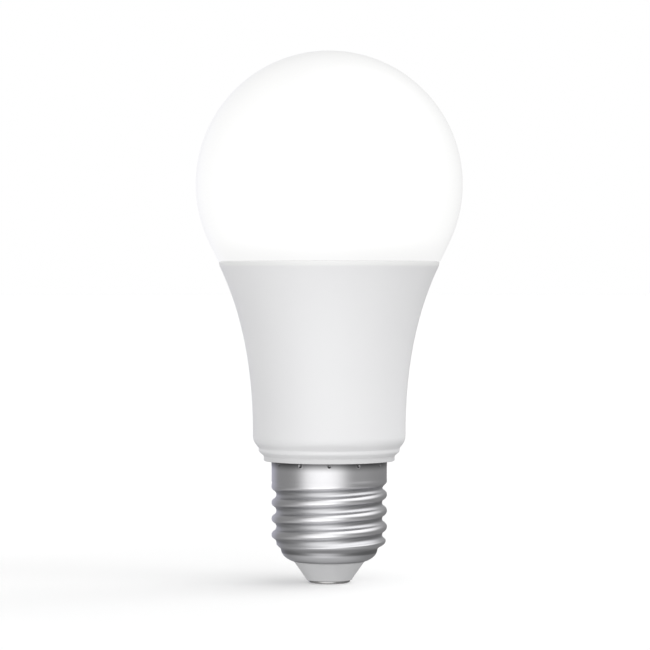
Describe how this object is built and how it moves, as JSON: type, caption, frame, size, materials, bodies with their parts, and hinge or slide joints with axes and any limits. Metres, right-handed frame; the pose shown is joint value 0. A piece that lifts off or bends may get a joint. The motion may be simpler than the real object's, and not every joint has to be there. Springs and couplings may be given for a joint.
{
  "type": "smart light bulb",
  "caption": "Screw-cap smart light bulb with an opal dome, a flared white housing, a stepped collar, a rolled thread and a driver, light board and radio inside.",
  "frame": {"origin": "tip of the centre contact, on the bulb's own axis", "axes": "+Z along the bulb's axis towards the top of the dome; -Y is the side that was pictured"},
  "size_m": [0.0602, 0.0602, 0.12],
  "materials": {
    "opal_plastic": "opal, translucent, satin, lit from inside",
    "white_housing": "satin white",
    "cap_metal": "bright rolled metal, satin",
    "insulator_plastic": "matte light grey",
    "contact_metal": "nickel-plated",
    "silicone": "milky silicone",
    "aluminium": "plain pressed sheet",
    "thermal_pad": "matte grey",
    "white_mask_board": "white solder mask on an aluminium core",
    "led_package": "white moulding",
    "warm_phosphor": "orange silicone",
    "cool_phosphor": "yellow silicone",
    "steel_screw": "zinc-plated",
    "ivory_plastic": "moulded nylon",
    "gold_pin": "gold flash",
    "green_board": "green solder mask",
    "blue_board": "blue solder mask",
    "black_sleeve": "printed sleeve without print",
    "blue_lacquer": "dipped lacquer",
    "grey_ceramic": "ceramic body with lacquer",
    "black_rubber": "heat-shrink tube",
    "yellow_box": "moulded box",
    "ferrite": "sintered ferrite",
    "black_plastic": "moulded",
    "copper": "enamelled copper wire",
    "yellow_tape": "polyester tape",
    "chip_plastic": "moulded epoxy",
    "chip_ceramic": "fired ceramic",
    "tinned_metal": "tinned",
    "red_wire": "extruded insulation"
  },
  "bodies": {
    "root": {"diffuser_dome": "opal_plastic", "seal_ring": "silicone", "housing_shell": "white_housing", "cap_shell": "cap_metal", "cap_insulator": "insulator_plastic", "centre_contact": "contact_metal", "heat_sink_cup": "aluminium", "heat_spreader_plate": "aluminium", "thermal_pad": "thermal_pad", "led_board": "white_mask_board", "led_packages": "led_package", "warm_phosphor": "warm_phosphor", "cool_phosphor": "cool_phosphor", "led_board_screws": "steel_screw", "led_connector": "ivory_plastic", "header_pins": "gold_pin", "driver_board": "green_board", "bulk_capacitor": "black_sleeve", "output_capacitor": "black_sleeve", "varistor": "blue_lacquer", "fusible_resistor": "grey_ceramic", "resistor_sleeve": "black_rubber", "film_capacitor": "yellow_box", "filter_choke_core": "ferrite", "filter_choke_winding": "copper", "transformer_core": "ferrite", "transformer_bobbin": "black_plastic", "transformer_winding": "yellow_tape", "bridge_rectifier": "chip_plastic", "controller_chip": "chip_plastic", "dimming_mosfets": "chip_plastic", "rectifier_diode": "chip_plastic", "smd_resistors": "chip_plastic", "smd_capacitors": "chip_ceramic", "radio_board": "blue_board", "radio_shield": "tinned_metal", "radio_chip": "chip_plastic", "radio_crystal": "tinned_metal", "antenna_trace": "copper", "radio_pins": "gold_pin", "live_lead": "red_wire", "neutral_lead": "tinned_metal", "solder_joints": "tinned_metal"}
  },
  "joints": []
}
